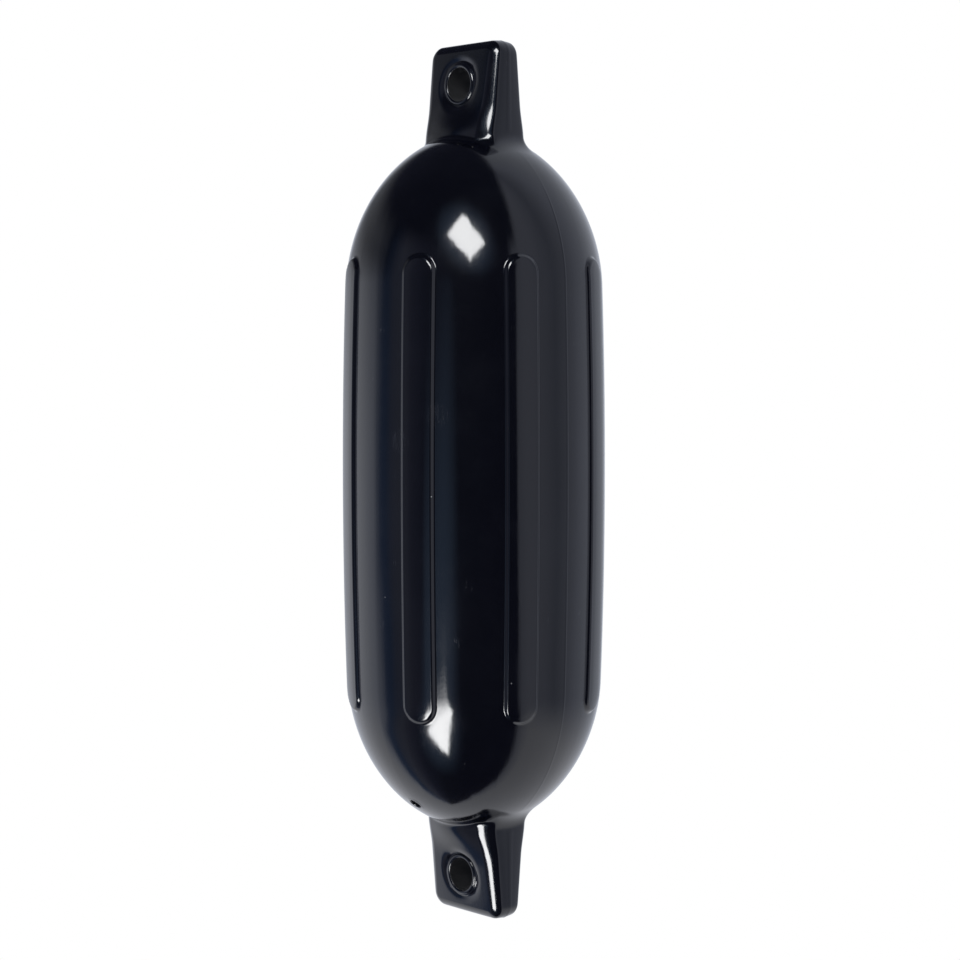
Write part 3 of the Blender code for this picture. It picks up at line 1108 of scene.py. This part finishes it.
# Below the fender the black cloth runs further to the left and back, which these steps stand for
left_shift = 0.34
left_step = 0.14
left_step_top = (-0.08, -0.22)
left_step_end = (-0.34, -0.52)
back_shift = 0.36
low = room_math("MAXIMUM", room_math("MULTIPLY", side_z, -1.0), 0.0)
stepped = room_math("ADD", side_x, room_math("MULTIPLY", low, left_shift))
below = room_map(side_z, *left_step_top, 0.0, 1.0)
below = room_math("SUBTRACT", below, room_map(side_z, *left_step_end, 0.0, 1.0))
stepped = room_math("SUBTRACT", stepped, room_math("MULTIPLY", below, left_step))
rightward = room_math("MULTIPLY", room_math("MAXIMUM", side_x, 0.0), low)
deeper = room_math("SUBTRACT", room_math("MULTIPLY", rightward, back_shift), side_y)

# Bearing from the room's front, which is 0.5; less is to its left and more to its right
bearing = room_math("ARCTAN2", stepped, deeper)
bearing = room_math("ADD", room_math("DIVIDE", bearing, math.tau), 0.5)


def wall_ramp(stops):
    node = add_node(room, "ShaderNodeValToRGB", Fac=bearing)
    for degrees, _ in stops[1:-1]:
        node.color_ramp.elements.new(0.5 + degrees / 360)
    for element, (degrees, colour) in zip(node.color_ramp.elements, stops):
        element.position = 0.5 + degrees / 360
        element.color = (*colour, 1)
    return node.outputs["Color"]


walls = wall_ramp([
    (-180, (0.66, 0.70, 0.80)), (-110, (0.78, 0.82, 0.92)), (-85, (1.05, 1.08, 1.18)),
    (-64, (1.05, 1.10, 1.24)), (-56, (0.94, 1.00, 1.18)), (-48, (0.68, 0.74, 0.92)),
    (-41, (0.15, 0.22, 0.40)), (-36, (0.12, 0.19, 0.36)), (-30, (0.20, 0.23, 0.34)),
    (-22, (0.25, 0.27, 0.36)), (-8, (0.15, 0.16, 0.24)), (2, (0.09, 0.10, 0.16)),
    (30, (0.05, 0.055, 0.08)), (79, (0.035, 0.035, 0.06)), (83, (0.55, 0.58, 0.70)),
    (90, (0.64, 0.67, 0.80)), (103, (0.62, 0.65, 0.78)), (122, (0.40, 0.43, 0.53)),
    (133, (0.50, 0.53, 0.64)), (150, (0.64, 0.68, 0.82)), (180, (0.66, 0.70, 0.80)),
])
off, on = (0, 0, 0), (1, 1, 1)

# The left wall fades upwards, and the rest of the walls doesn't
left_fade = 0.76
left_fade_edge = (-0.10, 0.32)
black = (0.0, 0.0, 0.0, 1)
left_wall = wall_ramp([(-180, off), (-125, off), (-108, on), (-40, on), (-25, off), (180, off)])
faded = room_math("MULTIPLY", left_wall, room_map(side_z, *left_fade_edge, 0.0, left_fade))
walls = blend(room, faded, walls, black)

# The floor is lit where the walls are
floor_light = (0.98, 1.0, 1.08, 1)
floor_edge = (-0.25, -0.60)
lit = wall_ramp([(-180, on), (-62, on), (-42, off), (82, off), (92, on), (180, on)])
floor_seen = room_math("MULTIPLY", lit, room_map(side_z, *floor_edge, 0.0, 1.0))
walls = blend(room, floor_seen, walls, floor_light)

# The ceiling is black over the front, the camera and the left, above the top of the left wall
ceiling_black = (0.03, 0.032, 0.05, 1)
ceiling_edge = (0.36, 0.60)
ceiling_front = (0.14, 0.24)
forward_x, forward_y = 0.26, 0.966
forward = room_math("ADD", room_math("MULTIPLY", side_x, forward_x), room_math("MULTIPLY", side_y, forward_y))
overhead = room_map(side_z, *ceiling_edge, 0.0, 1.0)
ceiling = room_math("MULTIPLY", overhead, room_map(forward, *ceiling_front, 1.0, 0.0))
walls = blend(room, ceiling, walls, ceiling_black)
mirrored = add_node(room, "ShaderNodeBackground", Color=walls)

# Matt surfaces get a little less of the plain white than the camera does
diffuse_level = 0.9
room_rays = add_node(room, "ShaderNodeLightPath").outputs
dimmed = room_math("MULTIPLY", room_rays["Is Diffuse Ray"], 1 - diffuse_level)
plain_level = room_math("SUBTRACT", 1.0, dimmed)
plain = add_node(room, "ShaderNodeBackground", Color=(1, 1, 1, 1), Strength=plain_level)
room_choice = add_node(room, "ShaderNodeMixShader")
feed(room, room_choice.inputs, (room_rays["Is Glossy Ray"], plain.outputs[0], mirrored.outputs[0]))
add_node(room, "ShaderNodeOutputWorld", Surface=room_choice.outputs[0])

bpy.context.scene.view_settings.view_transform = "Standard"
